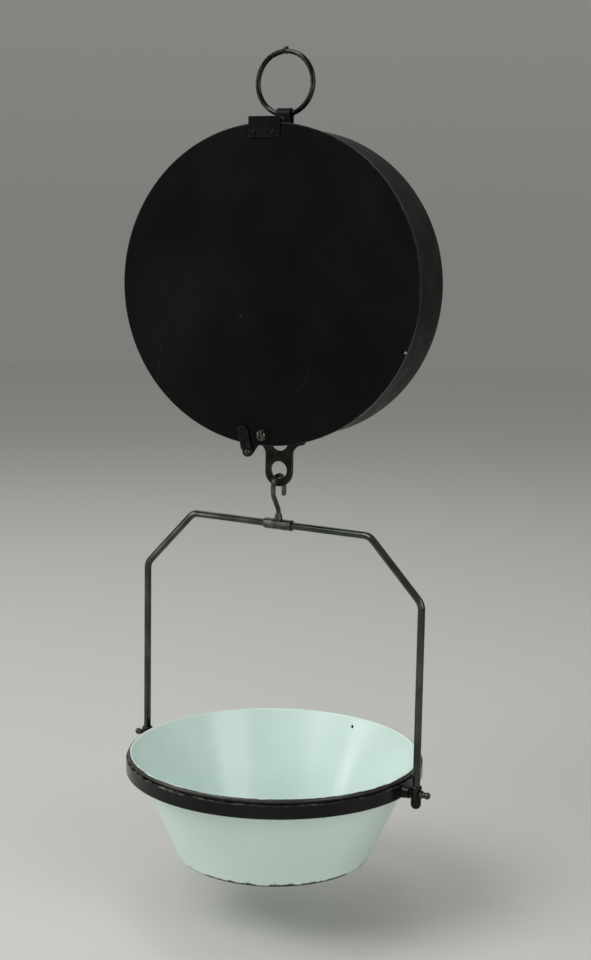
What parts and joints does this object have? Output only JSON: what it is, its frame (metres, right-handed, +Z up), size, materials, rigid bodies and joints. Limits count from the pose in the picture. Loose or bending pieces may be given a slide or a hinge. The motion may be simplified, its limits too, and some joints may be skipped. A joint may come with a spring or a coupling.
{
  "type": "hanging spring scale",
  "caption": "Hanging dial spring scale: round drum with hinged back cover, suspension ring, load eye and hook, wire bail, trunnion hoop and lift-out enamelled pan.",
  "frame": {"origin": "inside top of the suspension ring, where a ceiling hook bears; the hang line is x = y = 0", "axes": "+Z up along the hang line, +Y out of the dial, -Y out of the hinged back cover, +X to the right when the back cover is faced"},
  "size_m": [0.2916, 0.249, 0.6644],
  "materials": {
    "ring_steel": "worn round wire",
    "black_steel": "satin black",
    "cover_paint": "satin black enamel, scratched",
    "shell_paint": "semi-gloss dark grey paint",
    "bezel_paint": "gloss black",
    "fastener_steel": "plated",
    "frame_steel": "plain sheet and bar",
    "plug_steel": "turned",
    "spring_steel": "oiled spring wire",
    "brass_parts": "turned brass",
    "rack_steel": "milled",
    "dial_face": "off-white enamelled sheet",
    "gasket_rubber": "matte",
    "glass_clear": "clear",
    "pointer_paint": "black painted sheet",
    "screw_steel": "worn, slotted head",
    "latch_steel": "worn strap",
    "eye_steel": "dark steel, edges worn bright",
    "hook_steel": "dark worn wire",
    "bail_steel": "dark worn rod",
    "hoop_black": "satin black, scuffed",
    "pin_steel": "worn turned pins",
    "pan_enamel": "pale green-white vitreous enamel, black chipped edges"
  },
  "bodies": {
    "ring": {"suspension_ring": "ring_steel"},
    "drum": {"hanger_lug": "black_steel", "lug_bolt": "fastener_steel", "lug_nut": "fastener_steel", "spring_beam": "frame_steel", "drum_shell": "shell_paint", "chassis_plate": "frame_steel", "chassis_foot": "frame_steel", "foot_rivets": "shell_paint", "bridge_posts": "frame_steel", "rear_bridge": "frame_steel", "bridge_screws": "fastener_steel", "rear_bush": "brass_parts", "front_bush": "brass_parts", "rack_guide": "brass_parts", "dial_posts": "frame_steel", "dial_plate": "dial_face", "dial_screws": "fastener_steel", "glass_seat_ring": "frame_steel", "glass_gasket": "gasket_rubber", "dial_glass": "glass_clear", "bezel_ring": "bezel_paint", "bezel_screws": "fastener_steel", "spring_left": "spring_steel", "spring_right": "spring_steel", "spring_top_plugs": "plug_steel", "spring_top_nuts": "fastener_steel", "hinge_fixed_leaf": "black_steel", "hinge_pin": "screw_steel", "cover_keeper": "frame_steel"},
    "cover": {"back_cover": "cover_paint", "hinge_cover_leaf": "black_steel", "hinge_rivets": "black_steel", "latch_ear": "black_steel", "latch_screw": "screw_steel", "cover_screw": "screw_steel"},
    "latch": {"cover_latch": "latch_steel"},
    "load": {"load_plate": "eye_steel", "load_crossbar": "frame_steel", "crossbar_rivets": "fastener_steel", "rack": "rack_steel", "rack_screw": "fastener_steel", "spring_bottom_plugs": "plug_steel", "spring_bottom_nuts": "fastener_steel"},
    "pointer": {"pointer_shaft": "plug_steel", "pinion": "brass_parts", "pointer": "pointer_paint", "pointer_hub": "brass_parts", "pointer_cap": "brass_parts"},
    "hook": {"hook": "hook_steel", "hook_collar": "hook_steel", "bail_sleeve": "hook_steel"},
    "bail": {"bail_rod": "bail_steel", "bail_end_left": "bail_steel", "bail_end_right": "bail_steel"},
    "hoop": {"hoop_band": "hoop_black", "hoop_lugs": "hoop_black", "trunnion_pins": "pin_steel"},
    "pan": {"pan": "pan_enamel"}
  },
  "joints": [
    {"name": "ring_swing", "type": "hinge", "parent": "ring", "child": "drum", "pos_m": [0, 0, -0.0469], "axis": [1, 0, 0], "range_deg": [-80, 80]},
    {"name": "cover_open", "type": "hinge", "parent": "drum", "child": "cover", "pos_m": [0, -0.0282, -0.0524], "axis": [-1, 0, 0], "range_deg": [0, 110]},
    {"name": "latch_turn", "type": "hinge", "parent": "cover", "child": "latch", "pos_m": [-0.015, -0.032, -0.3144], "axis": [0, -1, 0], "range_deg": [0, 100]},
    {"name": "load_slide", "type": "slide", "parent": "drum", "child": "load", "axis": [0, 0, -1], "range_m": [0, 0.0335], "stiffness_N_per_m": 2956, "springref_m": -0.0048, "deforming": ["spring_left", "spring_right"]},
    {"name": "pointer_turn", "type": "hinge", "parent": "drum", "child": "pointer", "pos_m": [0, 0, -0.1818], "axis": [0, -1, 0], "range_deg": [0, 344]},
    {"name": "hook_swing", "type": "hinge", "parent": "load", "child": "hook", "pos_m": [0, 0, -0.3366], "axis": [0.1822, 0.9833, 0], "range_deg": [-30, 30]},
    {"name": "bail_swing", "type": "hinge", "parent": "hook", "child": "bail", "pos_m": [0, 0, -0.3773], "axis": [0.9833, -0.1822, 0], "range_deg": [-60, 60]},
    {"name": "hoop_tilt", "type": "hinge", "parent": "bail", "child": "hoop", "pos_m": [0, 0, -0.5808], "axis": [0.9833, -0.1822, 0], "range_deg": [-75, 75]},
    {"name": "pan_lift", "type": "slide", "parent": "hoop", "child": "pan", "axis": [0, 0, 1], "range_m": [0, 0.12]}
  ],
  "couplings": [
    {"joint": "pointer_turn", "follows": "load_slide", "rad_per_m": 178.57}
  ]
}
